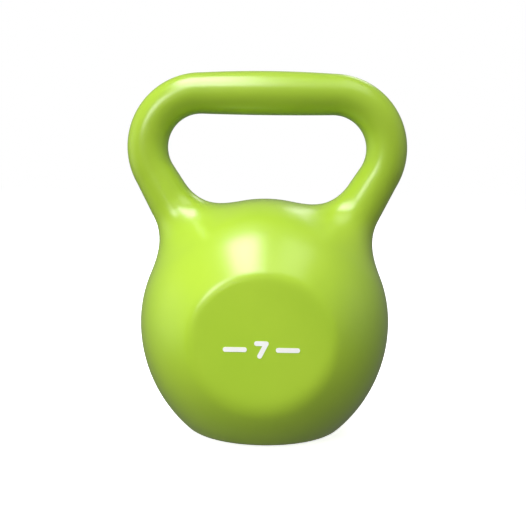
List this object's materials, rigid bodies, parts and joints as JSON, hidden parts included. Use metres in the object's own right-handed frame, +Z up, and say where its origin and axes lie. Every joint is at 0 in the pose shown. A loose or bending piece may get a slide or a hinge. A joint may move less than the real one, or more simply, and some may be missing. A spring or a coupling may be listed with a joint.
{
  "type": "kettlebell",
  "caption": "Round vinyl-coated kettlebell with a bent tube handle, flat front and back faces and a rubber base pad.",
  "frame": {"origin": "on the bell's upright axis, at the floor under the rubber pad", "axes": "+Z up, +X along the hand bar, -Y towards the face with the weight mark"},
  "size_m": [0.1892, 0.1443, 0.2453],
  "materials": {
    "lime_vinyl": "smooth satin-gloss dip-coated vinyl",
    "iron_sand_concrete": "cast concrete with iron sand",
    "tube_steel": "drawn steel tube",
    "rod_steel": "plain mild steel rod",
    "cap_plastic": "moulded polyethylene",
    "insert_steel": "zinc-plated turned steel",
    "pad_rubber": "moulded black rubber",
    "screw_steel": "zinc-plated steel",
    "white_paint": "thin white pad-printed ink"
  },
  "bodies": {
    "root": {"vinyl_coat": "lime_vinyl", "concrete_bell": "iron_sand_concrete", "handle_tube": "tube_steel", "anchor_rod": "rod_steel", "tube_cap_left": "cap_plastic", "tube_cap_right": "cap_plastic", "base_insert": "insert_steel", "base_pad": "pad_rubber", "base_washer": "screw_steel", "base_screw": "screw_steel", "weight_mark": "white_paint"}
  },
  "joints": []
}
